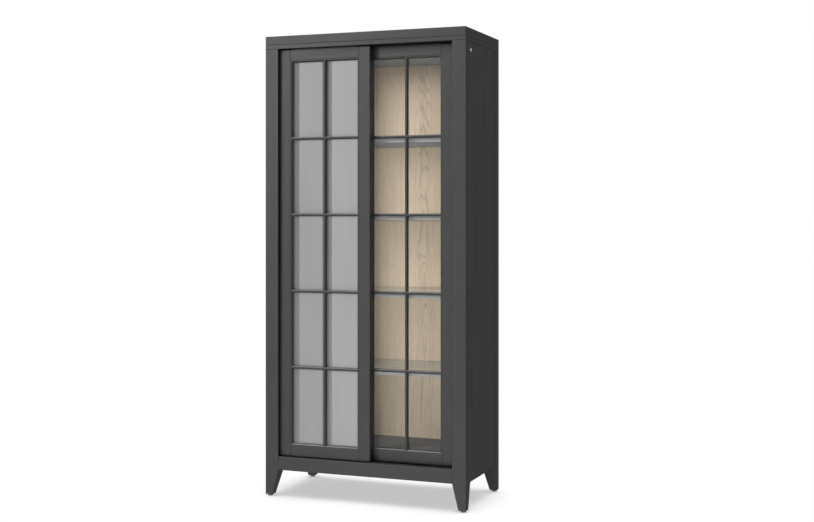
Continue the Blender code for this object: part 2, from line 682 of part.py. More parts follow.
# ---------------------------------------------------------------- the cabinet
def main():
    for old in list(bpy.data.objects):
        bpy.data.objects.remove(old, do_unlink=True)
    paint = material("charcoal_paint", (0.075, 0.076, 0.078), 0.55)
    oak = material("natural_oak", (0.42, 0.33, 0.235), 0.6)
    clear = material("clear_glass", (0.80, 0.86, 0.84), 0.03, alpha=0.25)
    pale = material("pale_glass", (0.62, 0.63, 0.63), 0.25, alpha=0.75)
    steel = material("grey_steel", (0.30, 0.30, 0.30), 0.4, 0.3)
    track = material("track_aluminium", (0.45, 0.45, 0.46), 0.4, 1.0)
    chrome = material("switch_chrome", (0.75, 0.75, 0.76), 0.12, 1.0)
    plastic = material("black_plastic", (0.02, 0.02, 0.02), 0.45)
    lens = material("light_lens", (0.85, 0.85, 0.82), 0.3)

    make_posts(paint)
    make_glides(plastic)
    make_top(paint)
    make_aprons(paint)
    make_sides(paint)
    make_boards(paint, oak)
    make_shelves(steel, clear)
    make_tracks(track)
    make_door("left_door", FRONT_DOOR_OUTER, -1, FRONT_DOOR_Y, paint, pale, steel, plastic)
    make_door("right_door", REAR_DOOR_OUTER, 1, REAR_DOOR_Y, paint, clear, steel, plastic)
    make_lights(steel, lens)
    make_switch(chrome, plastic)


main()
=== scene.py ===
"""Looks for a tall display cabinet: charcoal-painted open-grained timber, an oak back, two
sliding glazed doors and glass shelves. Metres, +Z up; the front faces -Y."""

import json
import math

import bmesh
import bpy
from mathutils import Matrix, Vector


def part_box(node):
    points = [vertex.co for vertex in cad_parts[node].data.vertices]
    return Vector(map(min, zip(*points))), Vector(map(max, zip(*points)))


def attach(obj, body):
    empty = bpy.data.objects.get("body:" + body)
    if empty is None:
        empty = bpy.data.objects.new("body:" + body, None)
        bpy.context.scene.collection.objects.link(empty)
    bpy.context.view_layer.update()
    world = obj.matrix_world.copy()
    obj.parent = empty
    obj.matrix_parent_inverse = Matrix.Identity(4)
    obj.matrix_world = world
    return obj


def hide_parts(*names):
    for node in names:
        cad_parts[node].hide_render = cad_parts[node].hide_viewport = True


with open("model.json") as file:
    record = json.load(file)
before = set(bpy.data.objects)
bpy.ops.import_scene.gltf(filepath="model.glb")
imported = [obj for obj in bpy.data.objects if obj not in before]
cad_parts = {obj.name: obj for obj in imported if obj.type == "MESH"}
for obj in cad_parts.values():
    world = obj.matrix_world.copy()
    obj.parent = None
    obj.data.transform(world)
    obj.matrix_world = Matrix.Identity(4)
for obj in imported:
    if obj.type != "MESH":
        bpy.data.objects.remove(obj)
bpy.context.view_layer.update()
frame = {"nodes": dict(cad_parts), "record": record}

# ---------------------------------------------------------------- camera
CAMERA_PLACE = (2.143, -5.241, 1.238)
CAMERA_TURN = 21.18             # degrees round Z; the camera is level
CAMERA_LENS = 56.91             # mm, as is the sensor
CAMERA_SENSOR = 36.0
CAMERA_SHIFT = -0.0607

# ---------------------------------------------------------------- light
WORLD_STRENGTH = 0.345
AIM = (0.0, 0.0, 1.05)          # where every light points
# name: (degrees right of the front, distance, height, width, power)
LIGHTS = {
    "key": (-38, 5.5, 2.6, 1.2, 132.0),
    "key_high": (-30, 3.5, 3.2, 1.4, 58.0),
    "fill": (22, 6.5, 1.9, 2.6, 118.0),
    "side": (80, 4.0, 2.4, 2.0, 2.0),
    "bounce": (5, 1.2, 0.03, 1.0, 12.0),
}

# Cards side by side, well in front of the cabinet, that the hazy door's glass mirrors: a
# bright one, a dim gap and a brighter one. (left edge, right edge, glow)
CARDS = ((-2.654, -2.44, 2.9), (-2.44, -2.351, 0.65), (-2.351, -2.06, 3.4))
CARD_DEPTH = -5.0
CARD_FOOT = -0.72
CARD_HEAD = 2.50
CARD_FALL = 0.72                # a card's glow at its foot, beside 1 at its head

# ---------------------------------------------------------------- floor
FLOOR_REACH = 60.0
SHADOW_REACH = 0.30             # how far from the cabinet its soft floor shadow reaches
SHADOW_SHADE = 0.54             # floor brightness under the cabinet, beside 1 in the open
SHADOW_COVERED = 0.34           # share of open air over the floor where the shadow is full
SHADOW_OPEN = 0.80              # and where it ends

# ---------------------------------------------------------------- paint
CHARCOAL = (0.0282, 0.0282, 0.0285)
WORN_PAINT_AND_HIGHLIGHT = (0.11, 0.11, 0.109)
DUST_AND_HIGHLIGHT = (0.35, 0.35, 0.355)
NO_PAINTED_LIGHT = (1.0, 1.0, 1.0)
# painted light: boards behind the doors are painted a paler grey, standing in for the light that
# falls on them, and bluer to cancel the brown light bounced off the oak; times the charcoal's red,
# green and blue
PAINTED_LIGHT_LEVELS = {"ceiling_board": (11.6, 12.2, 13.1), "floor_board": (2.4, 2.5, 2.85)}
PAINT_ROUNDING = 0.0016         # radius of the softened edges
SLOPE_HIGHLIGHT = 0.42               # painted highlight: share of pale paint on faces that slope upward, where they catch the light
LEVEL_DUST = 0.08               # share of dust on level faces
PAINTED_SHADE_REACH = 0.034              # painted shade: the paint is darkened this near to another surface

# ---------------------------------------------------------------- oak
OAK_LIGHT = (0.775, 0.607, 0.437)
OAK_DARK = (0.47, 0.328, 0.275)
OAK_FLECK = (0.66, 0.56, 0.43)
OAK_JOINT = (0.25, 0.18, 0.12)
LEAF_WIDTH = 0.17               # the veneer is laid in upright leaves
LEAF_EDGE = 0.055               # where one joint between leaves lies, right of the middle
LEAF_HEART = 0.35               # how far across a leaf its pith lies
RING_WIDTH = 0.0085
PITH_HEIGHT = 0.40              # where the pith comes nearest to the leaf's face
PITH_LEAN = 0.076               # how far it leans away from there, per metre of height
STRAIGHT_OFFSET = 0.33          # how far aside it lies from a straight-grained leaf

# ---------------------------------------------------------------- metal, plastic and glass
STEEL_GREY = (0.305, 0.297, 0.298)
ZINC = (0.55, 0.55, 0.56)
DARK_ANODISED = (0.045, 0.045, 0.047)
CHROME = (0.75, 0.75, 0.76)
MOULDING_BLACK = (0.020, 0.020, 0.021)
NYLON_GREY = (0.16, 0.16, 0.16)
OPAL = (0.80, 0.80, 0.78)
METAL_ROUNDING = 0.0006
PLASTIC_ROUNDING = 0.0005
DOOR_TINT = (0.97, 0.98, 0.975)
SHELF_TINT = (0.935, 0.955, 0.94)
GLASS_MIRROR = 0.035            # share mirrored where glass is seen face on
DUST_FILM = ((0.74, 0.77, 0.76), (0.84, 0.87, 0.86))
EDGE_GREEN = ((0.24, 0.27, 0.26), (0.36, 0.39, 0.38))
HAZE = (0.160, 0.160, 0.158)
HAZE_TINT = (0.84, 0.90, 0.98)

# ---------------------------------------------------------------- shapes
DOOR_ARRIS = 0.0004
SHELF_ARRIS = 0.0006
ON_AXIS = 1e-7                  # radius of a ring that closes the end of a turned piece
RING_GAP = 0.0004               # round a part that sits in a ring's hole


# ================================================================ material graphs
class Graph:
    """A material's node tree, built up one node at a time."""

    def __init__(self, name):
        self.material = bpy.data.materials.new(name)
        self.material.use_nodes = True
        self.tree = self.material.node_tree
        self.tree.nodes.clear()

    def add(self, kind, inputs, output=0, **settings):
        """Add a node. An input is a number, a colour, or another node's output."""
        node = self.tree.nodes.new("ShaderNode" + kind)
        for key, value in settings.items():
            setattr(node, key, value)
        for key, value in inputs.items():
            if isinstance(value, bpy.types.NodeSocket):
                self.tree.links.new(value, node.inputs[key])
            else:
                node.inputs[key].default_value = value
        return node.outputs[output]

    def split(self, vector):
        """The three parts of a vector."""
        parts = self.tree.nodes.new("ShaderNodeSeparateXYZ")
        self.tree.links.new(vector, parts.inputs[0])
        return tuple(parts.outputs)

    def math(self, operation, first, second=0.0, clamp=False):
        return self.add("Math", {0: first, 1: second}, operation=operation, use_clamp=clamp)

    def total(self, first, *others):
        for other in others:
            first = self.math("ADD", first, other)
        return first

    def minus(self, first, second):
        return self.math("SUBTRACT", first, second)

    def times(self, first, second):
        return self.math("MULTIPLY", first, second)

    def spread(self, value, low, high, to_low=0.0, to_high=1.0, smooth=False):
        """Carry a value from one range to another, held at the ends."""
        return self.add("MapRange", {0: value, 1: low, 2: high, 3: to_low, 4: to_high},
                        interpolation_type="SMOOTHSTEP" if smooth else "LINEAR")

    def vary(self, noise, to_low, to_high, half=0.2):
        """Carry the middle of a noise, half each side of 0.5, to another range."""
        return self.spread(noise, 0.5 - half, 0.5 + half, to_low, to_high)

    def noise(self, vector, scale, detail=2.0, rough=0.5, distortion=0.0):
        return self.add("TexNoise", {"Vector": vector, "Scale": scale, "Detail": detail,
                                     "Roughness": rough, "Distortion": distortion})

    def fibres(self, place, across, along, detail=2.0, rough=0.5, distortion=0.0):
        """Noise whose features are `across` metres wide over the grain and `along` with it."""
        scale = (1 / across, 1 / across, 1 / along)
        stretched = self.add("VectorMath", {0: place, 1: scale}, operation="MULTIPLY")
        return self.noise(stretched, 1.0, detail, rough, distortion)

    def blend(self, share, first, second, mode="MIX"):
        return self.add("Mix", {0: share, 6: first, 7: second}, output=2,
                        data_type="RGBA", blend_type=mode)

    def dimmed(self, colour, level):
        """A colour times a single level."""
        grey = self.add("CombineColor", {0: level, 1: level, 2: level})
        return self.blend(1.0, colour, grey, "MULTIPLY")

    def bump(self, height, distance, strength=1.0, normal=None):
        inputs = {"Height": height, "Distance": distance, "Strength": strength}
        if normal is not None:
            inputs["Normal"] = normal
        return self.add("Bump", inputs)

    def along_grain(self, grain, seed):
        """Object coordinates, shifted by seed, with the grain turned to run along Z."""
        place = self.tree.nodes.new("ShaderNodeTexCoord").outputs["Object"]
        parts = self.split(place)
        order = {"X": "YZX", "Y": "ZXY", "Z": "XYZ"}[grain]
        turned_place = self.add("CombineXYZ", {i: parts["XYZ".index(axis)]
                                               for i, axis in enumerate(order)})
        offset = (seed * 1.37 % 7, seed * 2.11 % 5, seed * 3.73 % 11)
        return self.add("VectorMath", {0: turned_place, 1: offset}, operation="ADD")

    def flat_normal(self):
        return self.tree.nodes.new("ShaderNodeNewGeometry").outputs["Normal"]

    def rounded_edges(self, radius):
        """1 on a rounded edge and 0 on a flat, and the rounded normal."""
        rounded = self.add("Bevel", {"Radius": radius}, samples=4)
        same = self.add("VectorMath", {0: rounded, 1: self.flat_normal()}, output=1,
                        operation="DOT_PRODUCT")
        return self.spread(same, 0.995, 0.85), rounded

    def facing_up(self, low, high):
        """0 on faces whose normal rises less than `low`, and 1 from `high`."""
        return self.spread(self.split(self.flat_normal())[2], low, high)

    def finish(self, shader):
        end = self.tree.nodes.new("ShaderNodeOutputMaterial")
        self.tree.links.new(shader, end.inputs["Surface"])
        return self.material


# ================================================================ paint
def highlight_and_dust_share(graph, cloud):
    """How much pale colour lies on a painted face: most as a painted highlight on the narrow
    upward slopes of the beads, a little as dust on level faces.
    """
    level = graph.facing_up(0.80, 0.95)
    sloping = graph.minus(graph.facing_up(0.35, 0.60), level)
    share = graph.total(graph.times(sloping, SLOPE_HIGHLIGHT), graph.times(level, LEVEL_DUST))
    return graph.times(share, graph.vary(cloud, 0.75, 1.25))


def painted(name, grain, seed, painted_light_level):
    """Charcoal paint over open-grained timber: pores, a faint figure and paler edges, partly worn
    paint and partly a painted highlight.
    """
    graph = Graph(name)
    place = graph.along_grain(grain, seed)
    pore = graph.spread(graph.fibres(place, 0.0016, 0.040, 3.0, 0.6), 0.56, 0.70)
    figure = graph.fibres(place, 0.020, 0.50, 4.0, 0.62, 0.6)
    cloud = graph.noise(place, 9.0, 3.0)
    film = graph.noise(place, 900.0, 1.0)
    edge_share, rounded = graph.rounded_edges(PAINT_ROUNDING)

    tone = graph.total(graph.vary(figure, 0.95, 1.05), graph.vary(cloud, -0.05, 0.05))
    tone = graph.minus(tone, graph.times(pore, 0.10))
    # painted light: a board in the table above is painted paler, standing in for the light on it
    paint = [value * part for value, part in zip(CHARCOAL, painted_light_level)]
    colour = graph.dimmed((*paint, 1), tone)
    # paler rounded edges: partly worn paint, partly a painted highlight where the edges catch the
    # light
    colour = graph.blend(graph.times(edge_share, 0.12), colour, (*WORN_PAINT_AND_HIGHLIGHT, 1))
    # painted highlight on faces sloping upward, and dust on level faces
    colour = graph.blend(highlight_and_dust_share(graph, cloud), colour, (*DUST_AND_HIGHLIGHT, 1))
    # painted shade: the paint is darkened near another surface, in the gaps and corners where
    # shade falls
    open_air = graph.add("AmbientOcclusion", {"Distance": PAINTED_SHADE_REACH}, output=1, samples=8)
    colour = graph.dimmed(colour, graph.spread(open_air, 0.50, 0.79, 0.04, 1.0))

    rough = graph.total(graph.vary(figure, 0.50, 0.60), graph.times(pore, 0.12))
    relief = graph.bump(graph.times(pore, -1.0), 0.00010, 0.5, rounded)
    relief = graph.bump(figure, 0.0004, 0.35, relief)
    relief = graph.bump(film, 0.00003, 0.25, relief)
    return graph.finish(graph.add("BsdfPrincipled", {
        "Base Color": colour, "Roughness": rough, "Normal": relief,
        "Specular IOR Level": 0.35}))


# ================================================================ oak
def oak_leaf(graph, x):
    """Leaves across, the leaf's number, metres from its heart, and 1 if it is straight-grained."""
    across = graph.math("DIVIDE", graph.minus(x, LEAF_EDGE), LEAF_WIDTH)
    number = graph.math("FLOOR", across)
    straight = graph.math("ABSOLUTE", graph.math("MODULO", number, 2.0))
    from_heart = graph.minus(graph.math("FRACT", across), LEAF_HEART)
    return across, number, graph.times(from_heart, LEAF_WIDTH), straight


def oak_figure(graph, place, z, from_heart, straight):
    """Lines of early wood, and the pinker heart up the middle of a crown-cut leaf.

    A line is where the leaf cuts a growth ring round a pith that leans away up the trunk."""
    sway = graph.fibres(place, 0.30, 0.55, 2.0, 0.45)
    ripple = graph.fibres(place, 0.028, 0.16, 3.0, 0.55)
    off_centre = graph.total(from_heart, graph.vary(sway, -0.016, 0.016))
    side = graph.total(off_centre, graph.times(straight, STRAIGHT_OFFSET))
    depth = graph.total(graph.times(graph.minus(z, PITH_HEIGHT), PITH_LEAN),
                        graph.vary(sway, -0.020, 0.020))
    radius = graph.math("SQRT", graph.total(graph.times(side, side), graph.times(depth, depth)))
    radius = graph.total(radius, graph.vary(ripple, -0.0042, 0.0042))
    ring = graph.math("FRACT", graph.math("DIVIDE", radius, RING_WIDTH))
    from_line = graph.math("ABSOLUTE", graph.minus(ring, 0.5))
    early = graph.spread(from_line, 0.04, 0.26, 1.0, 0.0, smooth=True)

    half_width = graph.spread(z, 0.3, 1.5, 0.052, 0.024)
    within = graph.minus(half_width, graph.math("ABSOLUTE", off_centre))
    heart = graph.times(graph.spread(within, -0.004, 0.005), graph.minus(1.0, straight))
    return early, heart


def oak_colour(graph, place, early, heart, pore, number):
    """Fibres, streaks, mottle and pores between the light and the dark tone of the wood."""
    lines = graph.times(early, graph.spread(heart, 0.0, 1.0, 0.22, 0.42))
    fibre = graph.fibres(place, 0.0030, 0.12, 3.0, 0.6)
    streak = graph.fibres(place, 0.016, 0.60)
    mottle = graph.fibres(place, 0.010, 0.022, 3.0, 0.6)
    dark = graph.total(lines, graph.times(heart, 0.10), graph.vary(fibre, -0.10, 0.22, 0.18),
                       graph.vary(streak, -0.07, 0.10, 0.18),
                       graph.vary(mottle, -0.07, 0.10, 0.18))
    dark = graph.math("ADD", dark, graph.times(pore, 0.28), clamp=True)
    chance = graph.math("FRACT", graph.times(number, 0.618))      # no two leaves quite alike
    dark = graph.math("ADD", dark, graph.spread(chance, 0.0, 1.0, -0.05, 0.06), clamp=True)
    colour = graph.blend(dark, (*OAK_LIGHT, 1), (*OAK_DARK, 1))
    fleck = graph.spread(graph.fibres(place, 0.003, 0.009, 1.0), 0.66, 0.74)
    return graph.blend(graph.times(fleck, 0.22), colour, (*OAK_FLECK, 1))


def oak_veneer(name):
    """Natural oak in upright leaves: alternate leaves are crown cut and straight-grained."""
    graph = Graph(name)
    place = graph.along_grain("Z", 0)
    x, _, z = graph.split(place)
    across, number, from_heart, straight = oak_leaf(graph, x)
    early, heart = oak_figure(graph, place, z, from_heart, straight)
    pore = graph.times(graph.spread(graph.fibres(place, 0.0012, 0.014, 2.0, 0.6), 0.56, 0.68),
                       graph.spread(early, 0.0, 1.0, 0.35, 1.0))

    colour = oak_colour(graph, place, early, heart, pore, number)
    # painted shade: the oak is darkened towards the bottom, where less light reaches the lower
    # compartments
    colour = graph.dimmed(colour, graph.spread(z, 0.28, 0.95, 0.74, 1.0, smooth=True))
    from_middle = graph.math("ABSOLUTE", graph.minus(graph.math("FRACT", across), 0.5))
    colour = graph.blend(graph.times(graph.spread(from_middle, 0.4985, 0.4995), 0.30), colour,
                         (*OAK_JOINT, 1))

    rough = graph.total(graph.spread(early, 0.0, 1.0, 0.50, 0.62), graph.times(pore, 0.1))
    relief = graph.bump(graph.times(pore, -1.0), 0.00010, 0.5)
    relief = graph.bump(graph.times(early, -1.0), 0.00006, 0.4, relief)
    return graph.finish(graph.add("BsdfPrincipled", {
        "Base Color": colour, "Roughness": rough, "Normal": relief,
        "Specular IOR Level": 0.3}))


# ================================================================ metal, plastic and glass
def metal(name, colour, metallic, rough, brushed, seed=0.0):
    """Metal or a metallic lacquer, with fine brush lines along X and light scuffs."""
    graph = Graph(name)
    place = graph.along_grain("X", seed)
    lines = graph.fibres(place, 0.0006, 0.060, 2.0, 0.6)
    scuff = graph.noise(place, 38.0, 4.0, 0.65)
    edge_share, rounded = graph.rounded_edges(METAL_ROUNDING)
    tone = graph.total(graph.vary(lines, 1 - brushed, 1 + brushed),
                       graph.vary(scuff, -0.04, 0.04, 0.15))
    bright = tuple(min(1.0, value * 1.35) for value in colour)
    base = graph.blend(graph.times(edge_share, 0.4), graph.dimmed((*colour, 1), tone), (*bright, 1))
    roughness = graph.total(graph.vary(scuff, rough - 0.05, rough + 0.06, 0.15),
                            graph.vary(lines, -0.03, 0.03))
    relief = graph.bump(lines, 0.00002, 0.4, rounded)
    return graph.finish(graph.add("BsdfPrincipled", {
        "Base Color": base, "Metallic": metallic, "Roughness": roughness, "Normal": relief}))


def plastic(name, colour, rough, seed=0.0):
    """Moulded plastic with a fine spark-eroded grain and handling marks."""
    graph = Graph(name)
    place = graph.along_grain("Z", seed)
    grain = graph.noise(place, 2600.0, 2.0)
    mark = graph.noise(place, 60.0, 3.0, 0.6)
    edge_share, rounded = graph.rounded_edges(PLASTIC_ROUNDING)
    base = graph.dimmed((*colour, 1), graph.vary(mark, 0.88, 1.14, 0.15))
    pale = tuple(min(1.0, value * 1.5 + 0.02) for value in colour)
    base = graph.blend(graph.times(edge_share, 0.35), base, (*pale, 1))
    roughness = graph.vary(mark, rough - 0.05, rough + 0.08)
    relief = graph.bump(grain, 0.00002, 0.4, rounded)
    return graph.finish(graph.add("BsdfPrincipled", {
        "Base Color": base, "Roughness": roughness, "Normal": relief}))


def clear_glass(name, share, tint, seed=0.0):
    """Thin clear glass: what is behind it shows through, under a faint film of dust."""
    graph = Graph(name)
    place = graph.along_grain("Z", seed)
    dust = graph.noise(place, 14.0, 4.0, 0.6)
    film = graph.noise(place, 320.0, 2.0, 0.6)
    slant = graph.add("LayerWeight", {"Blend": 0.5}, output=1)
    mirrored = graph.spread(graph.math("POWER", slant, 5.0), 0.0, 1.0, GLASS_MIRROR, 1.0)
    solid = graph.total(mirrored, graph.spread(dust, 0.4, 0.75, share * 0.6, share * 1.4))
    thin, thick = DUST_FILM
    gloss = graph.add("BsdfPrincipled", {
        "Base Color": graph.blend(graph.spread(film, 0.4, 0.6), (*thin, 1), (*thick, 1)),
        "Metallic": 0.85, "Roughness": graph.vary(dust, 0.02, 0.07)})
    through = graph.add("BsdfTransparent", {"Color": (*tint, 1)})
    return graph.finish(graph.add("MixShader", {0: solid, 1: through, 2: gloss}))


def glass_edge(name):
    """The polished edge of a sheet of glass, which looks green and deep."""
    graph = Graph(name)
    streak = graph.fibres(graph.along_grain("X", 0), 0.002, 0.05, 3.0)
    deep, pale = EDGE_GREEN
    colour = graph.blend(graph.vary(streak, 0.0, 1.0), (*deep, 1), (*pale, 1))
    return graph.finish(graph.add("BsdfPrincipled", {
        "Base Color": colour, "Roughness": graph.vary(streak, 0.12, 0.22)}))


def hazy_glass(name):
    """Pale hazy glass: a soft grey film over a dim view of what is behind it."""
    graph = Graph(name)
    place = graph.along_grain("Z", 3)
    cloud = graph.fibres(place, 0.22, 0.60, 3.0)
    film = graph.fibres(place, 0.012, 0.30, 3.0, 0.55)
    speck = graph.noise(place, 700.0, 1.0)
    tone = graph.total(graph.vary(cloud, 0.96, 1.04), graph.vary(film, -0.03, 0.03))
    gloss = graph.add("BsdfPrincipled", {
        "Base Color": graph.dimmed((*HAZE, 1), tone), "Specular IOR Level": 1.0,
        "Roughness": graph.vary(speck, 0.004, 0.010)})
    through = graph.add("BsdfTransparent", {"Color": (*HAZE_TINT, 1)})
    solid = graph.vary(cloud, 0.74, 0.78)
    return graph.finish(graph.add("MixShader", {0: solid, 1: through, 2: gloss}))


# ================================================================ stage
def placed(name, data):
    """Put new data into the scene as an object."""
    item = bpy.data.objects.new(name, data)
    bpy.context.scene.collection.objects.link(item)
    return item


def make_camera():
    data = bpy.data.cameras.new("camera")
    data.lens = CAMERA_LENS
    data.sensor_width = CAMERA_SENSOR
    data.shift_y = CAMERA_SHIFT
    data.dof.use_dof = False
    camera = placed("camera", data)
    camera.location = CAMERA_PLACE
    camera.rotation_euler = (math.pi / 2, 0, math.radians(CAMERA_TURN))
    bpy.context.scene.camera = camera


def area_light(name, degrees, distance, height, width, power):
    data = bpy.data.lights.new(name, "AREA")
    data.shape = "SQUARE"
    data.size = width
    data.energy = power
    light = placed(name, data)
    turn = math.radians(degrees)
    light.location = (distance * math.sin(turn), -distance * math.cos(turn), height)
    light.rotation_euler = (Vector(AIM) - light.location).to_track_quat("-Z", "Y").to_euler()
    light.visible_glossy = name != "bounce"
    light.visible_camera = False


def make_world():
    """Dim even light all round, which the camera sees as a white backdrop."""
    world = bpy.data.worlds.new("studio")
    world.use_nodes = True
    tree = world.node_tree
    tree.nodes.clear()
    path = tree.nodes.new("ShaderNodeLightPath")
    strength = tree.nodes.new("ShaderNodeMapRange")
    strength.inputs["To Min"].default_value = WORLD_STRENGTH
    strength.inputs["To Max"].default_value = 1.0
    tree.links.new(path.outputs["Is Camera Ray"], strength.inputs["Value"])
    background = tree.nodes.new("ShaderNodeBackground")
    tree.links.new(strength.outputs[0], background.inputs["Strength"])
    background.inputs["Color"].default_value = (1, 1, 1, 1)
    end = tree.nodes.new("ShaderNodeOutputWorld")
    tree.links.new(background.outputs[0], end.inputs["Surface"])
    bpy.context.scene.world = world


def glowing(graph, level):
    """Finish a material that shines white at the given level."""
    return graph.finish(graph.add("Emission", {"Color": (1, 1, 1, 1), "Strength": level}))


def make_floor():
    """A white floor, greyed only by the cabinet's own soft shade."""
    graph = Graph("floor_white")
    open_air = graph.add("AmbientOcclusion", {"Distance": SHADOW_REACH}, output=1, samples=24)
    level = graph.spread(open_air, SHADOW_COVERED, SHADOW_OPEN, SHADOW_SHADE, 1.0, smooth=True)
    shape = bmesh.new()
    bmesh.ops.create_grid(shape, x_segments=1, y_segments=1, size=FLOOR_REACH)
    mesh = bpy.data.meshes.new("floor")
    shape.to_mesh(mesh)
    shape.free()
    mesh.materials.append(glowing(graph, level))
    floor = placed("floor", mesh)
    for rays in ("diffuse", "glossy", "shadow"):
        setattr(floor, "visible_" + rays, False)


def make_cards():
    """The cards in front and to the left, which only mirrors see."""
    for number, (left, right, glow) in enumerate(CARDS):
        graph = Graph("card_white")
        height = graph.split(graph.along_grain("Z", 0))[2]
        level = graph.spread(height, CARD_FOOT, CARD_HEAD, glow * CARD_FALL, glow)
        mesh = bpy.data.meshes.new("card")
        corners = [(left, CARD_FOOT), (right, CARD_FOOT), (right, CARD_HEAD), (left, CARD_HEAD)]
        mesh.from_pydata([(x, CARD_DEPTH, z) for x, z in corners], [], [(0, 1, 2, 3)])
        mesh.materials.append(glowing(graph, level))
        card = placed(f"card_{number + 1}", mesh)
        for rays in ("camera", "diffuse", "transmission", "volume_scatter", "shadow"):
            setattr(card, "visible_" + rays, False)


def make_stage():
    make_cards()
    make_camera()
    make_world()
    make_floor()
    for name, settings in LIGHTS.items():
        area_light(name, *settings)
    bpy.context.scene.view_settings.view_transform = "Standard"


# ================================================================ finishes
def make_finishes():
    return {
        "oak": oak_veneer("oak_veneer"),
        "hazy": hazy_glass("hazy_glass"),
        "clear": clear_glass("door_glass", 0.015, DOOR_TINT),
        "shelf": clear_glass("shelf_glass", 0.04, SHELF_TINT, 5.0),
        "edge": glass_edge("polished_glass_edge"),
        "steel": metal("grey_lacquered_steel", STEEL_GREY, 0.0, 0.42, 0.05),
        "zinc": metal("zinc_plated_steel", ZINC, 1.0, 0.30, 0.06, 2.0),
        "aluminium": metal("anodised_aluminium", DARK_ANODISED, 1.0, 0.42, 0.08),
        "chrome": metal("chrome", CHROME, 1.0, 0.14, 0.02, 4.0),
        "black": plastic("black_moulding", MOULDING_BLACK, 0.42),
        "tyre": plastic("grey_nylon", NYLON_GREY, 0.46, 6.0),
        "lens": plastic("opal_lens", OPAL, 0.30, 7.0),
    }


SLOT_FINISH = {"natural_oak": "oak", "pale_glass": "hazy", "clear_glass": "clear",
               "grey_steel": "steel", "track_aluminium": "aluminium", "switch_chrome": "chrome",
               "black_plastic": "black", "light_lens": "lens"}


def slot_of(node):
    rows = frame["record"]["subparts"]
    return next(row["material_slot"] for row in rows if row["node"] == node)


def body_of(node):
    bodies = frame["record"]["behaviour"]["bodies"]
    return next(body for body, members in bodies.items() if node in members)


def grain_of(node):
    """The direction of a board's grain: along its longest side."""
    low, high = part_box(node)
    size = high - low
    return "XYZ"[max(range(3), key=lambda axis: size[axis])]


def finish_nodes():
    """Give every CAD node its own procedural finish."""
    for number, node in enumerate(sorted(frame["nodes"])):
        slot = slot_of(node)
        if slot == "charcoal_paint":
            finish = painted(f"charcoal_{node}", grain_of(node), number + 1,
                             PAINTED_LIGHT_LEVELS.get(node, NO_PAINTED_LIGHT))
        else:
            finish = FINISHES[SLOT_FINISH[slot]]
        data = frame["nodes"][node].data
        data.materials.clear()
        data.materials.append(finish)


# ================================================================ pieces
def stand_in(name, shape, finishes, node, crease=35):
    """Turn a built shape into a piece that is shown in a CAD node's place and moves with it."""
    mesh = bpy.data.meshes.new(name)
    bmesh.ops.recalc_face_normals(shape, faces=shape.faces)
    shape.to_mesh(mesh)
    shape.free()
    for finish in finishes:
        mesh.materials.append(FINISHES[finish])
    mesh.shade_smooth()
    mesh.set_sharp_from_angle(angle=math.radians(crease))
    piece = placed(name, mesh)
    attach(piece, body_of(node))
    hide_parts(node)
    return piece


def make_pane(node, face, arris):
    """A sheet of glass with ground arrises, its faces and its edges finished apart."""
    low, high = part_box(node)
    size = high - low
    thin = min(range(3), key=lambda axis: size[axis])
    shape = bmesh.new()
    bmesh.ops.create_cube(shape, size=1.0)
    for vertex in shape.verts:
        vertex.co = Vector(low[i] + (vertex.co[i] + 0.5) * size[i] for i in range(3))
    bmesh.ops.bevel(shape, geom=shape.edges[:], offset=arris, segments=2, affect="EDGES",
                    profile=0.5)
    for item in shape.faces:
        item.material_index = 0 if abs(item.normal[thin]) > 0.99 else 1
    pane = stand_in(node + "_pane", shape, (face, "edge"), node, crease=20)
    pane.visible_shadow = face == "shelf"


def ring_loops(shape, rings, centre, axis, steps, flutes):
    """A loop of vertices for each ring. flutes is (first ring, last ring, count, depth)."""
    out = Vector([float(letter == axis) for letter in "XYZ"])
    side = Vector((1, 0, 0)) if axis == "Z" else Vector((0, 0, 1))
    other = out.cross(side)
    first, last, count, depth = flutes
    loops = []
    for number, (radius, along, _) in enumerate(rings):
        loop = []
        for step in range(steps):
            turn = 2 * math.pi * step / steps
            reach = radius
            if first <= number <= last:
                reach -= depth * (0.5 - 0.5 * math.cos(count * turn))
            spoke = side * math.cos(turn) + other * math.sin(turn)
            loop.append(shape.verts.new(Vector(centre) + out * along + spoke * reach))
        loops.append(loop)
    return loops


def turned(name, rings, centre, axis, finishes, node, steps=64, flutes=(0, -1, 0, 0.0)):
    """A turned piece, closed on itself. Each ring is (radius, distance along the axis, finish
    of the band that ends there)."""
    shape = bmesh.new()
    loops = ring_loops(shape, rings, centre, axis, steps, flutes)
    for first, second, (_, _, finish) in zip(loops, loops[1:] + loops[:1], rings[1:] + rings[:1]):
        for step in range(steps):
            after = (step + 1) % steps
            face = shape.faces.new([first[step], first[after], second[after], second[step]])
            face.material_index = finish
    bmesh.ops.remove_doubles(shape, verts=shape.verts, dist=1e-6)
    bmesh.ops.dissolve_degenerate(shape, edges=shape.edges[:], dist=1e-6)
    stand_in(name, shape, finishes, node)


def make_glide(node):
    """A furniture glide: a steel collar over a nylon foot with a rounded rim."""
    low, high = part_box(node)
    radius = (high.x - low.x) / 2
    height = high.z - low.z
    profile = [(0.86, 1.00, 0), (0.95, 0.93, 0), (0.95, 0.62, 0), (0.90, 0.58, 0),
               (0.90, 0.54, 1), (1.00, 0.50, 1), (1.00, 0.34, 1), (0.955, 0.15, 1),
               (0.86, 0.04, 1), (0.74, 0.00, 1)]
    rings = [(radius * wide, height * up, finish) for wide, up, finish in profile]
    rings = [(ON_AXIS, height, 0), *rings, (ON_AXIS, 0.0, 1)]
    middle = (low + high) / 2
    turned(node + "_foot", rings, (middle.x, middle.y, low.z), "Z", ("zinc", "black"), node)


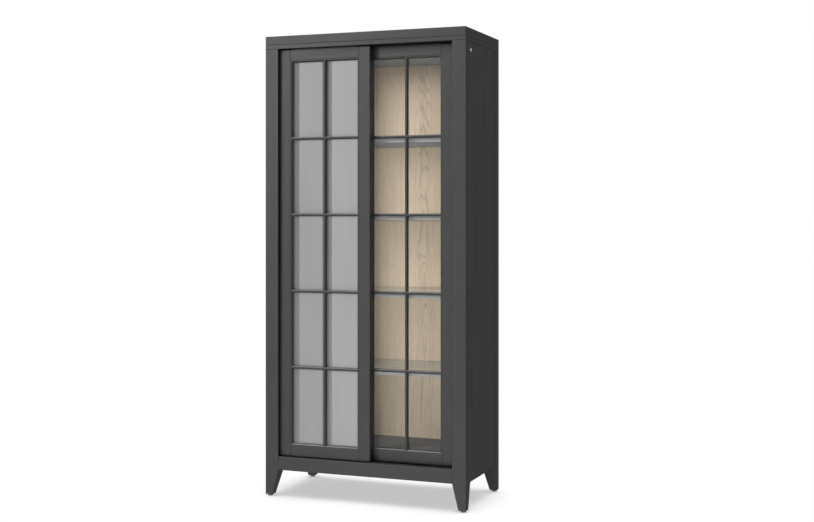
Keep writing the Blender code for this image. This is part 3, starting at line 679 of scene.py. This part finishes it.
def make_wheel(node):
    """A grooved nylon wheel on a steel bearing with a riveted pin."""
    low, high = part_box(node)
    rim = (high.x - low.x) / 2
    half = (high.y - low.y) / 2
    groove = rim - 0.0015
    profile = [(0.13, 1.00, 1), (0.17, 0.90, 1), (0.17, 0.70, 1), (0.20, 0.66, 1),
               (0.34, 0.66, 1), (0.36, 0.72, 1), (0.40, 0.72, 0), (0.46, 0.50, 0),
               (0.74, 0.50, 0), (0.80, 0.88, 0), (0.84, 1.00, 0), (0.96, 1.00, 0),
               (1.00, 0.90, 0), (1.00, 0.72, 0)]
    side = [(rim * wide, half * out, finish) for wide, out, finish in profile]
    side = [(ON_AXIS, half, 1), *side, (groove, half * 0.36, 0)]
    rings = [(radius, -out, finish) for radius, out, finish in side] + side[::-1]
    turned(node + "_grooved", rings, (low + high) / 2, "Y", ("tyre", "zinc"), node, steps=72)


def make_light(side):
    """A recessed round light: a stepped lacquered ring with a fluted opal lens in it."""
    fitting, lens = f"light_fitting_{side}", f"light_lens_{side}"
    low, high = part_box(fitting)
    lens_low, lens_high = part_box(lens)
    middle = (low + high) / 2
    rim = (high.x - low.x) / 2
    hole = (lens_high.x - lens_low.x) / 2
    top = high.z - low.z
    seat = lens_high.z - low.z + 0.0005
    rings = [(hole + RING_GAP, seat, 0), (hole + RING_GAP, 0.0012, 0),
             (hole + 0.0012, 0.0003, 0), (rim * 0.90, 0.0, 0), (rim * 0.97, 0.0004, 0),
             (rim, 0.0012, 0), (rim, 0.0019, 0), (rim * 0.90, 0.0020, 0),
             (rim * 0.88, top * 0.9, 0), (rim * 0.85, top, 0), (ON_AXIS, top, 0),
             (ON_AXIS, seat, 0)]
    turned(fitting + "_ring", rings, (middle.x, middle.y, low.z), "Z", ("steel",), fitting,
           steps=96)

    thick = lens_high.z - lens_low.z
    profile = [(0.97, 1.00), (1.00, 0.80), (1.00, 0.45), (0.95, 0.15), (0.90, 0.00),
               (0.86, 0.10), (0.70, 0.28), (0.55, 0.12), (0.40, 0.30), (0.25, 0.14),
               (0.12, 0.30)]
    rings = [(hole * wide, thick * up, 0) for wide, up in profile]
    rings = [(ON_AXIS, thick, 0), *rings, (ON_AXIS, thick * 0.22, 0)]
    turned(lens + "_opal", rings, (middle.x, middle.y, lens_low.z), "Z", ("lens",), lens,
           steps=96, flutes=(3, 6, 48, 0.0003))


def make_switch():
    """A round push button in a knurled ring on the right-hand side."""
    low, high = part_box("switch_bezel")
    button_low, button_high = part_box("switch_button")
    middle = (low + high) / 2
    rim = (high.y - low.y) / 2
    cap = (button_high.y - button_low.y) / 2
    hole = cap + RING_GAP
    depth = high.x - low.x
    rings = [(hole, 0.0, 0), (rim * 0.80, 0.0, 0), (rim * 0.82, 0.0008, 0),
             (rim * 0.82, depth - 0.0026, 0), (rim, depth - 0.0025, 0),
             (rim, depth - 0.0010, 0), (rim * 0.95, depth - 0.0003, 0),
             (rim * 0.86, depth, 0), (rim * 0.74, depth - 0.0002, 0),
             (hole + 0.0004, depth - 0.0009, 0), (hole, depth - 0.0014, 0)]
    turned("switch_bezel_ring", rings, (low.x, middle.y, middle.z), "X", ("chrome",),
           "switch_bezel", steps=96, flutes=(4, 5, 32, 0.00025))

    length = button_high.x - button_low.x
    rings = [(ON_AXIS, 0.0, 0), (cap * 0.86, 0.0, 0), (cap, 0.0008, 0),
             (cap, length - 0.0009, 1), (cap * 0.93, length - 0.0002, 1),
             (cap * 0.86, length, 1), (cap * 0.76, length - 0.0002, 1),
             (cap * 0.40, length - 0.0006, 1), (ON_AXIS, length - 0.0008, 1)]
    turned("switch_button_cap", rings, (button_low.x, middle.y, middle.z), "X",
           ("black", "chrome"), "switch_button")


def make_pieces():
    nodes = sorted(frame["nodes"])
    make_pane("left_door_glass", "hazy", DOOR_ARRIS)
    make_pane("right_door_glass", "clear", DOOR_ARRIS)
    for node in nodes:
        if node.startswith("shelf_glass_"):
            make_pane(node, "shelf", SHELF_ARRIS)
    for node in nodes:
        if node.startswith("glide_"):
            make_glide(node)
        elif node.endswith("_wheel"):
            make_wheel(node)
    for side in ("left", "right"):
        make_light(side)
    make_switch()


# ================================================================ the scene
make_stage()
FINISHES = make_finishes()
finish_nodes()
make_pieces()
